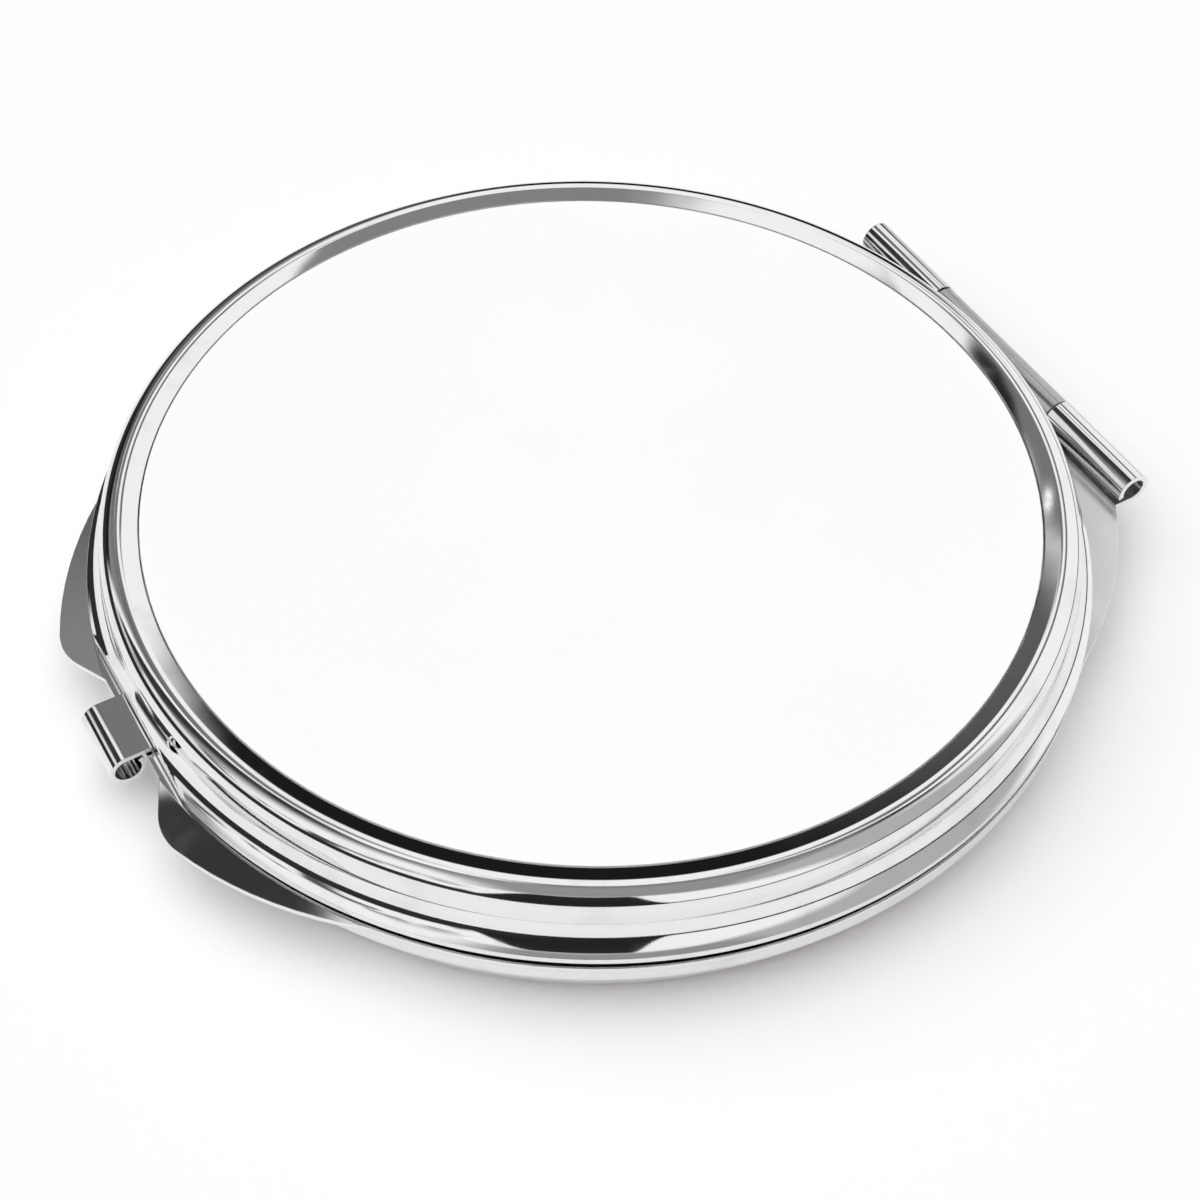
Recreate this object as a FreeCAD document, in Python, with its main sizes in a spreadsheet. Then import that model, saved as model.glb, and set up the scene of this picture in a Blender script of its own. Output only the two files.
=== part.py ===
"""Round metal compact mirror: a drawn lid and base, each closed by a stamped frame that holds a mirror.

The frames carry the hinge knuckles, the finger wings beside the thumb catch, and the hinge shoulders.
Lengths are millimetres. +Z is up, the body axis is Z, the foot ring stands on Z = 0,
the hinge lies at +Y with its axis along X, and the thumb catch lies at -Y.
"""

import FreeCAD, Part
import math
import os
import Sketcher

# Driving sizes, in millimetres unless a name ends in angle (degrees)
SIZES = {
    # sheet and plate thicknesses, from the table upwards
    "foot_height": 0.8,
    "shell_sheet": 0.5,
    "pad_thickness": 0.86,
    "mirror_thickness": 2.0,
    "base_frame_sheet": 0.38,
    "parting_gap": 0.17,
    "lid_frame_sheet": 0.3,
    "adhesive_thickness": 0.1,
    "disc_thickness": 0.6,
    # white top disc and the bead of the lid round it
    "disc_radius": 28.9,
    "disc_clearance": 0.1,
    "adhesive_margin": 1.4,
    "bead_width": 2.55,
    "bead_radius": 1.22,
    "bead_slope_angle": 19.5,
    # flared edge of the lid, and the hem of the base under it
    "lid_flare_radius": 2.0,
    "lid_flare_reach": 1.17,
    "lid_edge_height": 0.45,
    "lid_front_flat_depth": 0.8,
    "base_flare_radius": 0.5,
    "base_hem_height": 1.25,
    "base_hem_round": 0.4,
    "base_shelf": 0.27,
    "foot_round": 1.05,
    "foot_width": 0.4,
    # mirrors and their pads
    "mirror_clearance": 1.55,
    "mirror_lip": 1.2,
    "mirror_bevel": 0.3,
    "pad_margin": 2.5,
    "magnifier_margin": 0.6,
    "magnifier_radius": 500.0,
    # frames
    "lid_frame_inset": 0.15,
    "base_frame_lip": 0.05,
    "front_flat_depth": 0.37,
    "notch_half": 4.25,
    "wing_projection": 2.49,
    "wing_tightness": 6.87,
    "wing_corner_radius": 3.7,
    "wing_corner_place": 8.0,
    "wing_blend_radius": 5.0,
    "wing_slope_angle": 10.0,
    "wing_reach": 3.0,
    "shoulder_projection": 3.83,
    "shoulder_tightness": 4.97,
    "shoulder_blend_radius": 14.0,
    # hinge
    "knuckle_radius": 1.2,
    "middle_knuckle_half": 6.7,
    "knuckle_gap": 0.15,
    "hinge_half": 15.0,
    "hinge_setout": 0.82,
    "hinge_lid_gap": 0.1,
    "knuckle_clearance": 0.3,
    "roll_end_angle": 25.0,
    "pin_clearance": 0.05,
    "pin_recess": 1.6,
    # thumb catch
    "catch_roll_radius": 1.15,
    "catch_width": 4.7,
    "catch_clearance": 0.12,
    "catch_root_gap": 0.04,
    "catch_end_angle": 35.0,
}

doc = FreeCAD.newDocument("compact_mirror")
sheet = doc.addObject("Spreadsheet::Sheet", "sizes")
for row, (alias, size) in enumerate(SIZES.items(), start=1):
    sheet.set(f"A{row}", alias)
    sheet.set(f"B{row}", str(size))
    sheet.setAlias(f"B{row}", alias)
doc.recompute()

# Heights above the table, as expressions of the sheet
S = "sizes."
BASE_FLOOR_TOP = f"({S}foot_height + {S}shell_sheet)"
BASE_MIRROR_BACK = f"({BASE_FLOOR_TOP} + {S}pad_thickness)"
BASE_FRAME_BOTTOM = f"({BASE_MIRROR_BACK} + {S}mirror_thickness)"
BASE_FRAME_TOP = f"({BASE_FRAME_BOTTOM} + {S}base_frame_sheet)"
LID_FRAME_BOTTOM = f"({BASE_FRAME_TOP} + {S}parting_gap)"
LID_FRAME_TOP = f"({LID_FRAME_BOTTOM} + {S}lid_frame_sheet)"
LID_MIRROR_BACK = f"({LID_FRAME_TOP} + {S}mirror_thickness)"
LID_FLOOR_BOTTOM = f"({LID_MIRROR_BACK} + {S}pad_thickness)"
LID_FLOOR_TOP = f"({LID_FLOOR_BOTTOM} + {S}shell_sheet)"
DISC_BOTTOM = f"({LID_FLOOR_TOP} + {S}adhesive_thickness)"
DISC_TOP = f"({DISC_BOTTOM} + {S}disc_thickness)"

# Radii from the body axis
RECESS_RADIUS = f"({S}disc_radius + {S}disc_clearance)"
RECESS_BACK_RADIUS = f"({RECESS_RADIUS} + {S}shell_sheet)"
WALL_RADIUS = f"({RECESS_RADIUS} + {S}bead_width)"
WALL_INNER_RADIUS = f"({WALL_RADIUS} - {S}shell_sheet)"
LID_EDGE_RADIUS = f"({WALL_RADIUS} + {S}lid_flare_reach)"
BASE_HEM_RADIUS = f"({WALL_RADIUS} + {S}base_flare_radius + {S}base_shelf + {S}base_hem_round)"
LID_FRAME_RADIUS = f"({LID_EDGE_RADIUS} - {S}lid_frame_inset)"
BASE_FRAME_RADIUS = f"({BASE_HEM_RADIUS} + {S}base_frame_lip)"
MIRROR_RADIUS = f"({WALL_INNER_RADIUS} - {S}mirror_clearance)"
OPENING_RADIUS = f"({MIRROR_RADIUS} - {S}mirror_lip)"
PAD_RADIUS = f"({MIRROR_RADIUS} - {S}pad_margin)"

# Hinge line and thumb catch
HINGE_Y = f"({LID_EDGE_RADIUS} + {S}hinge_setout)"
HINGE_Z = f"({BASE_FRAME_BOTTOM} + {S}knuckle_radius)"
KNUCKLE_BORE = f"({S}knuckle_radius - {S}base_frame_sheet)"
MIDDLE_KNUCKLE_RADIUS = f"({KNUCKLE_BORE} + {S}lid_frame_sheet)"
LID_FRONT_FLAT = f"({LID_EDGE_RADIUS} - {S}lid_front_flat_depth)"
FRONT_FLAT = f"({BASE_FRAME_RADIUS} - {S}front_flat_depth)"
CATCH_Y = f"({FRONT_FLAT} + {S}catch_clearance + {S}catch_roll_radius)"
CATCH_Z = f"({LID_FRAME_TOP} - {S}catch_roll_radius)"
CATCH_ROOT_Y = f"({LID_FRONT_FLAT} + {S}catch_root_gap)"
CATCH_BORE = f"({S}catch_roll_radius - {S}lid_frame_sheet)"

# Plan of the base frame: the wings and shoulders are circles off the body axis
WING_RADIUS = f"({BASE_FRAME_RADIUS} - {S}wing_tightness)"
WING_OFFSET = f"({S}wing_projection + {S}wing_tightness)"
WING_DROP = f"({S}wing_reach * tan({S}wing_slope_angle))"
SHOULDER_RADIUS = f"({BASE_FRAME_RADIUS} - {S}shoulder_tightness)"
SHOULDER_OFFSET = f"({S}shoulder_projection + {S}shoulder_tightness)"
LEAF_REAR = f"({HINGE_Y} - {S}knuckle_radius / 2)"
KNUCKLE_NOTCH_HALF = f"({S}middle_knuckle_half + {S}knuckle_gap)"
KNUCKLE_NOTCH_Y = f"({HINGE_Y} - {S}knuckle_radius - {S}knuckle_clearance)"

# The sketcher's own numbers for its axes and for the points of an edge
X_AXIS, Y_AXIS = range(-1, -3, -1)
ORIGIN = X_AXIS
START, END, CENTRE = range(1, 4)


def number(expression):
    """Value of an expression of the sheet."""
    value = sheet.evalExpression(expression)
    return float(getattr(value, "Value", value))


def add_sketch(body, name, plane):
    """Sketch on one of the body's own origin planes."""
    sketch = body.newObject("Sketcher::SketchObject", name)
    for feature in body.Origin.OriginFeatures:
        if feature.Role == plane:
            sketch.AttachmentSupport = (feature, [""])
    sketch.MapMode = "FlatFace"
    return sketch


def bind(sketch, constraint, expression):
    """Add a sized constraint and tie it to the sheet."""
    index = sketch.addConstraint(constraint)
    sketch.setExpression(f"Constraints[{index}]", expression)


def place_point(sketch, edge, end, across, up):
    """Tie a point's two coordinates to the sheet; a leading minus means the negative side."""
    for kind, axis, expression in (("DistanceX", Y_AXIS, across), ("DistanceY", X_AXIS, up)):
        if expression == "0":
            sketch.addConstraint(Sketcher.Constraint("PointOnObject", edge, end, axis))
        elif expression.startswith("-"):
            size = expression[1:]
            bind(sketch, Sketcher.Constraint(kind, edge, end, ORIGIN, START, number(size)), size)
        else:
            bind(sketch, Sketcher.Constraint(kind, ORIGIN, START, edge, end, number(expression)), expression)


def arc_between(first, last, radius, turn):
    """Arc from first to last, turning left for +1 and right for -1, less than half a circle."""
    chord = last - first
    rise = math.sqrt(radius ** 2 - (chord.Length / 2) ** 2)
    side = FreeCAD.Vector(-chord.y, chord.x, 0).normalize()
    centre = (first + last) / 2 + side * rise * turn
    begin, finish = (first, last) if turn > 0 else (last, first)
    angle_0 = math.atan2(begin.y - centre.y, begin.x - centre.x)
    angle_1 = math.atan2(finish.y - centre.y, finish.x - centre.x)
    circle = Part.Circle(centre, FreeCAD.Vector(0, 0, 1), radius)
    return Part.ArcOfCircle(circle, angle_0, angle_1)


def draw_profile(sketch, points):
    """Closed outline: each point is (across, up) or (across, up, radius, turn) for an arc to the next."""
    corners = [FreeCAD.Vector(number(p[0]), number(p[1]), 0) for p in points]
    ends = []
    for index, point in enumerate(points):
        first = corners[index]
        last = corners[(index + 1) % len(points)]
        if len(point) == 2:
            edge = sketch.addGeometry(Part.LineSegment(first, last))
            ends.append((edge, START, END))
        else:
            edge = sketch.addGeometry(arc_between(first, last, number(point[2]), point[3]))
            ends.append((edge, START, END) if point[3] > 0 else (edge, END, START))
    for (edge, _, finish), (following, begin, _) in zip(ends, ends[1:] + ends[:1]):
        sketch.addConstraint(Sketcher.Constraint("Coincident", edge, finish, following, begin))
    for (edge, begin, _), point in zip(ends, points):
        place_point(sketch, edge, begin, point[0], point[1])
        if len(point) > 2:
            bind(sketch, Sketcher.Constraint("Radius", edge, number(point[2])), point[2])


def turned_body(name, points):
    """Body of revolution about Z from an outline of (radius, height) points."""
    body = doc.addObject("PartDesign::Body", name)
    body.Label = name
    sketch = add_sketch(body, f"{name}_profile", "XZ_Plane")
    draw_profile(sketch, points)
    turn = body.newObject("PartDesign::Revolution", f"{name}_turn")
    turn.Profile = sketch
    turn.ReferenceAxis = (sketch, ["V_Axis"])
    turn.Angle = 360.0
    return body


def disc_body(name, radius, bottom, top):
    """Plain round plate between two heights."""
    return turned_body(name, [("0", bottom), (radius, bottom), (radius, top), ("0", top)])


def pad(body, sketch, name, length, midplane=False):
    """Pad of a sketch to a length tied to the sheet."""
    feature = body.newObject("PartDesign::Pad", name)
    feature.Profile = sketch
    feature.Midplane = midplane
    feature.setExpression("Length", length)
    return feature


def lift(sketch, expression):
    """Move a sketch along its plane's normal by an expression of the sheet."""
    sketch.setExpression("AttachmentOffset.Base.z", expression)


def cut_chord(body, name, near, far, width, bottom, top):
    """Cut away everything between two Y places and two heights, over a width centred on X = 0."""
    plan = add_sketch(body, f"{name}_plan", "XY_Plane")
    draw_profile(plan, [(f"-{width}", near), (width, near), (width, far), (f"-{width}", far)])
    lift(plan, bottom)
    doc.recompute()
    cut = body.newObject("PartDesign::Pocket", name)
    cut.Profile = plan
    cut.Reversed = True
    cut.setExpression("Length", f"{top} - {bottom}")


def make_lid_shell():
    """Lid: recess for the disc, rounded bead, wall, solid flared edge, and flats at the hinge and the catch."""
    slope = f"{S}bead_slope_angle"
    bead_centre_r = f"({WALL_RADIUS} - {S}bead_radius)"
    crest_r = f"({bead_centre_r} - {S}bead_radius * sin({slope}))"
    crest_z = f"({DISC_TOP} + ({crest_r} - {RECESS_RADIUS}) * tan({slope}))"
    bead_centre_z = f"({crest_z} - {S}bead_radius * cos({slope}))"
    bead_back = f"({S}bead_radius - {S}shell_sheet)"
    crest_back_r = f"({bead_centre_r} - {bead_back} * sin({slope}))"
    crest_back_z = f"({bead_centre_z} + {bead_back} * cos({slope}))"
    slope_back_z = f"({crest_back_z} - ({crest_back_r} - {RECESS_BACK_RADIUS}) * tan({slope}))"
    flare_centre_r = f"({WALL_RADIUS} + {S}lid_flare_radius)"
    edge_top = f"({LID_FRAME_TOP} + {S}lid_edge_height)"
    flare_z = f"({edge_top} + sqrt({S}lid_flare_radius^2 - ({flare_centre_r} - {LID_EDGE_RADIUS})^2))"
    body = turned_body("lid_shell", [
        ("0", LID_FLOOR_BOTTOM),
        (RECESS_BACK_RADIUS, LID_FLOOR_BOTTOM),
        (RECESS_BACK_RADIUS, slope_back_z),
        (crest_back_r, crest_back_z, bead_back, -1),
        (WALL_INNER_RADIUS, bead_centre_z),
        (WALL_INNER_RADIUS, LID_FRAME_TOP),
        (LID_EDGE_RADIUS, LID_FRAME_TOP),
        (LID_EDGE_RADIUS, edge_top, f"{S}lid_flare_radius", -1),
        (WALL_RADIUS, flare_z),
        (WALL_RADIUS, bead_centre_z, f"{S}bead_radius", 1),
        (crest_r, crest_z),
        (RECESS_RADIUS, DISC_TOP),
        (RECESS_RADIUS, LID_FLOOR_TOP),
        ("0", LID_FLOOR_TOP),
    ])
    rear_flat = f"({HINGE_Y} - {MIDDLE_KNUCKLE_RADIUS} - {S}hinge_lid_gap)"
    cut_chord(body, "lid_rear_flat", rear_flat, HINGE_Y, f"{S}hinge_half", LID_FRAME_TOP, flare_z)
    cut_chord(body, "lid_front_flat", f"-{HINGE_Y}", f"-{LID_FRONT_FLAT}", f"{S}hinge_half",
              LID_FRAME_TOP, flare_z)
    return body


def make_base_shell():
    """Base: recessed underside, flat foot ring, wall, flare and a wider hem with a flat behind the catch."""
    slope = f"{S}bead_slope_angle"
    foot_outer = f"({WALL_RADIUS} - {S}foot_round)"
    foot_inner = f"({foot_outer} - {S}foot_width)"
    slope_z = f"(({foot_inner} - {RECESS_RADIUS}) * tan({slope}))"
    shelf_z = f"({BASE_FRAME_BOTTOM} - {S}base_hem_height)"
    flare_centre_r = f"({WALL_RADIUS} + {S}base_flare_radius)"
    flare_back = f"({S}base_flare_radius + {S}shell_sheet)"
    flare_z = f"({shelf_z} - {S}base_flare_radius)"
    foot_back = f"({S}foot_round - {S}shell_sheet)"
    slope_sheet = f"({S}shell_sheet / cos({slope}))"
    foot_back_r = f"({foot_inner} + ({slope_sheet} - {S}shell_sheet) / tan({slope}))"
    slope_back_z = f"(({foot_inner} - {RECESS_BACK_RADIUS}) * tan({slope}) + {slope_sheet})"
    hem_inner = f"({BASE_HEM_RADIUS} - {S}shell_sheet)"
    hem_step_z = f"({shelf_z} + {S}shell_sheet)"
    hem_edge = f"({BASE_HEM_RADIUS} - {S}base_hem_round)"
    body = turned_body("base_shell", [
        ("0", f"{S}foot_height"),
        (RECESS_RADIUS, f"{S}foot_height"),
        (RECESS_RADIUS, slope_z),
        (foot_inner, "0"),
        (foot_outer, "0", f"{S}foot_round", 1),
        (WALL_RADIUS, f"{S}foot_round"),
        (WALL_RADIUS, flare_z, f"{S}base_flare_radius", -1),
        (flare_centre_r, shelf_z),
        (hem_edge, shelf_z, f"{S}base_hem_round", 1),
        (BASE_HEM_RADIUS, f"({shelf_z} + {S}base_hem_round)"),
        (BASE_HEM_RADIUS, BASE_FRAME_BOTTOM),
        (hem_inner, BASE_FRAME_BOTTOM),
        (hem_inner, hem_step_z),
        (flare_centre_r, hem_step_z, flare_back, 1),
        (WALL_INNER_RADIUS, flare_z),
        (WALL_INNER_RADIUS, f"{S}foot_round", foot_back, -1),
        (foot_outer, f"{S}shell_sheet"),
        (foot_back_r, f"{S}shell_sheet"),
        (RECESS_BACK_RADIUS, slope_back_z),
        (RECESS_BACK_RADIUS, BASE_FLOOR_TOP),
        ("0", BASE_FLOOR_TOP),
    ])
    cut_chord(body, "base_front_flat", f"-{BASE_FRAME_RADIUS}", f"-{FRONT_FLAT}", f"{S}hinge_half",
              shelf_z, BASE_FRAME_BOTTOM)
    return body


def make_magnifier():
    """Base mirror: round glass whose face is ground hollow inside a flat rim under the frame lip."""
    hollow = f"({OPENING_RADIUS} - {S}magnifier_margin)"
    depth = f"({S}magnifier_radius - sqrt({S}magnifier_radius^2 - {hollow}^2))"
    edge = f"({BASE_MIRROR_BACK} + {S}mirror_bevel)"
    return turned_body("base_mirror", [
        ("0", BASE_MIRROR_BACK),
        (f"({MIRROR_RADIUS} - {S}mirror_bevel)", BASE_MIRROR_BACK),
        (MIRROR_RADIUS, edge),
        (MIRROR_RADIUS, BASE_FRAME_BOTTOM),
        (hollow, BASE_FRAME_BOTTOM, f"{S}magnifier_radius", -1),
        ("0", f"({BASE_FRAME_BOTTOM} - {depth})"),
    ])


def make_lid_mirror():
    """Lid mirror: plain round glass, face down on the lid frame, with a ground edge at its back."""
    edge = f"({LID_MIRROR_BACK} - {S}mirror_bevel)"
    return turned_body("lid_mirror", [
        ("0", LID_FRAME_TOP),
        (MIRROR_RADIUS, LID_FRAME_TOP),
        (MIRROR_RADIUS, edge),
        (f"({MIRROR_RADIUS} - {S}mirror_bevel)", LID_MIRROR_BACK),
        ("0", LID_MIRROR_BACK),
    ])


def touching_centre(far_y, far_radius, near_radius, blend):
    """Centre, at +X, of an outside blend between a circle at (0, far_y) and one round the origin."""
    reach = near_radius + blend
    across = far_radius + blend
    up = (reach ** 2 - across ** 2 + far_y ** 2) / (2 * far_y)
    return FreeCAD.Vector(math.sqrt(reach ** 2 - up ** 2), up, 0)


def draw_base_frame_half(sketch):
    """Right half of the base frame in plan: front flat, wing, rim, hinge shoulder and knuckle notch."""
    rim = number(BASE_FRAME_RADIUS)
    opening = number(OPENING_RADIUS)
    corner = number(f"{S}wing_corner_radius")
    wing_blend = number(f"{S}wing_blend_radius")
    shoulder_blend = number(f"{S}shoulder_blend_radius")
    wing_radius = number(WING_RADIUS)
    wing = FreeCAD.Vector(0, -number(WING_OFFSET), 0)
    shoulder_radius = number(SHOULDER_RADIUS)
    shoulder = FreeCAD.Vector(0, number(SHOULDER_OFFSET), 0)

    def toward(centre, target, radius):
        return centre + (target - centre).normalize() * radius

    notch = FreeCAD.Vector(number(f"{S}notch_half"), -number(FRONT_FLAT), 0)
    corner_x = number(f"{S}wing_corner_place")
    corner_drop = math.sqrt((wing_radius - corner) ** 2 - corner_x ** 2)
    corner_centre = FreeCAD.Vector(corner_x, wing.y - corner_drop, 0)
    line_of_sight = corner_centre - notch
    lean = math.asin(corner / line_of_sight.Length)
    heading = math.atan2(line_of_sight.y, line_of_sight.x) - lean
    run = line_of_sight.Length * math.cos(lean)
    corner_start = notch + FreeCAD.Vector(math.cos(heading), math.sin(heading), 0) * run
    corner_end = toward(wing, corner_centre, wing_radius)
    front_blend = touching_centre(wing.y, wing_radius, rim, wing_blend)
    wing_end = toward(wing, front_blend, wing_radius)
    rim_start = toward(FreeCAD.Vector(), front_blend, rim)
    rear_blend = touching_centre(shoulder.y, shoulder_radius, rim, shoulder_blend)
    rim_end = toward(FreeCAD.Vector(), rear_blend, rim)
    shoulder_start = toward(shoulder, rear_blend, shoulder_radius)
    half = number(f"{S}hinge_half")
    shoulder_end = FreeCAD.Vector(half, shoulder.y + math.sqrt(shoulder_radius ** 2 - half ** 2), 0)
    rear = number(LEAF_REAR)
    side = number(KNUCKLE_NOTCH_HALF)
    inside = number(KNUCKLE_NOTCH_Y)
    path = [
        (FreeCAD.Vector(0, notch.y, 0), None, 0),
        (notch, None, 0),
        (corner_start, corner, 1),
        (corner_end, wing_radius, 1),
        (wing_end, wing_blend, -1),
        (rim_start, rim, 1),
        (rim_end, shoulder_blend, -1),
        (shoulder_start, shoulder_radius, 1),
        (shoulder_end, None, 0),
        (FreeCAD.Vector(half, rear, 0), None, 0),
        (FreeCAD.Vector(side, rear, 0), None, 0),
        (FreeCAD.Vector(side, inside, 0), None, 0),
        (FreeCAD.Vector(0, inside, 0), None, 0),
        (FreeCAD.Vector(0, opening, 0), opening, -1),
        (FreeCAD.Vector(opening, 0, 0), opening, -1),
        (FreeCAD.Vector(0, -opening, 0), None, 0),
    ]
    ends = []
    for (first, radius, turn), (last, _, _) in zip(path, path[1:] + path[:1]):
        shape = Part.LineSegment(first, last) if radius is None else arc_between(first, last, radius, turn)
        edge = sketch.addGeometry(shape)
        ends.append((edge, END, START) if turn < 0 else (edge, START, END))
    tangent_joints = (2, 3, 4, 5, 6, 7)
    for index, (edge, begin, _) in enumerate(ends):
        before, _, finish = ends[index - 1]
        kind = "Tangent" if index in tangent_joints else "Coincident"
        sketch.addConstraint(Sketcher.Constraint(kind, before, finish, edge, begin))
    front, notch_side, corner_arc, wing_arc, wing_bend, rim_arc, shoulder_bend, shoulder_arc = range(8)
    knuckle_end, rear_edge, notch_wall, notch_floor = range(8, 12)
    opening_rear, opening_front, front_seam = range(13, 16)
    for edge in (front, rear_edge, notch_floor):
        sketch.addConstraint(Sketcher.Constraint("Horizontal", edge))
    for edge in (knuckle_end, notch_wall):
        sketch.addConstraint(Sketcher.Constraint("Vertical", edge))
    radii = {
        corner_arc: f"{S}wing_corner_radius",
        wing_arc: WING_RADIUS,
        wing_bend: f"{S}wing_blend_radius",
        rim_arc: BASE_FRAME_RADIUS,
        shoulder_bend: f"{S}shoulder_blend_radius",
        shoulder_arc: SHOULDER_RADIUS,
        opening_rear: OPENING_RADIUS,
    }
    for edge, expression in radii.items():
        bind(sketch, Sketcher.Constraint("Radius", edge, number(expression)), expression)
    for edge in (rim_arc, opening_rear, opening_front):
        sketch.addConstraint(Sketcher.Constraint("Coincident", edge, CENTRE, ORIGIN, START))
    place_point(sketch, wing_arc, CENTRE, "0", f"-{WING_OFFSET}")
    place_point(sketch, shoulder_arc, CENTRE, "0", SHOULDER_OFFSET)
    place_point(sketch, notch_side, START, f"{S}notch_half", f"-{FRONT_FLAT}")
    place_point(sketch, rear_edge, START, f"{S}hinge_half", LEAF_REAR)
    place_point(sketch, notch_floor, START, KNUCKLE_NOTCH_HALF, KNUCKLE_NOTCH_Y)
    corner_place = f"{S}wing_corner_place"
    bind(sketch, Sketcher.Constraint("DistanceX", ORIGIN, START, corner_arc, CENTRE, corner_x), corner_place)
    for edge, end, axis in ((front, START, Y_AXIS), (notch_floor, END, Y_AXIS), (front_seam, START, Y_AXIS),
                            (opening_rear, END, Y_AXIS), (opening_rear, START, X_AXIS)):
        sketch.addConstraint(Sketcher.Constraint("PointOnObject", edge, end, axis))


def rolled_outline(axis_y, axis_z, outer, inner, leaf_y, end_angle):
    """Leaf that runs in under a roll and curls round over it, stopping short of itself by an angle."""
    low = f"({axis_z} - {outer})"
    high = f"({axis_z} - {inner})"
    stop_y = f"cos({end_angle})"
    stop_z = f"sin({end_angle})"
    return [
        (leaf_y, low),
        (axis_y, low, outer, 1),
        (f"({axis_y} + {outer})", axis_z, outer, 1),
        (axis_y, f"({axis_z} + {outer})", outer, 1),
        (f"({axis_y} - {outer})", axis_z, outer, 1),
        (f"({axis_y} - {outer} * {stop_y})", f"({axis_z} - {outer} * {stop_z})"),
        (f"({axis_y} - {inner} * {stop_y})", f"({axis_z} - {inner} * {stop_z})", inner, -1),
        (f"({axis_y} - {inner})", axis_z, inner, -1),
        (axis_y, f"({axis_z} + {inner})", inner, -1),
        (f"({axis_y} + {inner})", axis_z, inner, -1),
        (axis_y, high),
        (leaf_y, high),
    ]


def half_turn(body, name, points):
    """Add half a turn, centred on the YZ plane, of an outline of (Y, height) points."""
    sketch = add_sketch(body, f"{name}_profile", "YZ_Plane")
    draw_profile(sketch, points)
    turn = body.newObject("PartDesign::Revolution", name)
    turn.Profile = sketch
    turn.ReferenceAxis = (sketch, ["V_Axis"])
    turn.Angle = 180.0
    turn.Midplane = True
    doc.recompute()


def make_base_brim():
    """Ring that the base frame is cut from: flat at the hinge, sloping down past the rim at the front."""
    body = doc.addObject("PartDesign::Body", "base_brim")
    reach = f"({BASE_FRAME_RADIUS} + {S}wing_reach)"
    hinge_reach = f"({HINGE_Y} + {S}wing_reach)"
    inside = f"({OPENING_RADIUS} - {S}mirror_lip)"
    half_turn(body, "base_brim_front", [
        (f"-{inside}", BASE_FRAME_BOTTOM),
        (f"-{inside}", BASE_FRAME_TOP),
        (f"-{BASE_FRAME_RADIUS}", BASE_FRAME_TOP),
        (f"-{reach}", f"({BASE_FRAME_TOP} - {WING_DROP})"),
        (f"-{reach}", f"({BASE_FRAME_BOTTOM} - {WING_DROP})"),
        (f"-{BASE_FRAME_RADIUS}", BASE_FRAME_BOTTOM),
    ])
    half_turn(body, "base_brim_rear", [
        (inside, BASE_FRAME_BOTTOM),
        (hinge_reach, BASE_FRAME_BOTTOM),
        (hinge_reach, BASE_FRAME_TOP),
        (inside, BASE_FRAME_TOP),
    ])
    return body


def mirror_over(body, name, originals):
    """Mirror features of a body about X = 0."""
    mirrored = body.newObject("PartDesign::Mirrored", name)
    mirrored.Originals = originals
    for feature in body.Origin.OriginFeatures:
        if feature.Role == "YZ_Plane":
            mirrored.MirrorPlane = (feature, [""])
    body.Tip = mirrored
    doc.recompute()


def make_base_frame():
    """Base frame: ring with two sloping finger wings, hinge shoulders and the two rolled outer knuckles."""
    brim = make_base_brim()
    body = doc.addObject("PartDesign::Body", "base_frame")
    body.Label = "base_frame"
    plan = add_sketch(body, "base_frame_plan", "XY_Plane")
    draw_base_frame_half(plan)
    lift(plan, f"({BASE_FRAME_BOTTOM} - {WING_DROP})")
    half = pad(body, plan, "base_frame_half", f"{S}base_frame_sheet + {WING_DROP}")
    doc.recompute()
    mirror_over(body, "base_frame_plate", [half])
    sloped = body.newObject("PartDesign::Boolean", "base_frame_sloped")
    sloped.setObjects([brim])
    sloped.Type = "Common"
    doc.recompute()
    roll = add_sketch(body, "base_knuckle_roll", "YZ_Plane")
    draw_profile(roll, rolled_outline(HINGE_Y, HINGE_Z, f"{S}knuckle_radius", KNUCKLE_BORE,
                                      f"({LEAF_REAR} - {S}knuckle_radius)", f"{S}roll_end_angle"))
    lift(roll, KNUCKLE_NOTCH_HALF)
    knuckle = pad(body, roll, "base_knuckle", f"{S}hinge_half - {KNUCKLE_NOTCH_HALF}")
    doc.recompute()
    mirror_over(body, "base_knuckles", [knuckle])
    return body


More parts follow.
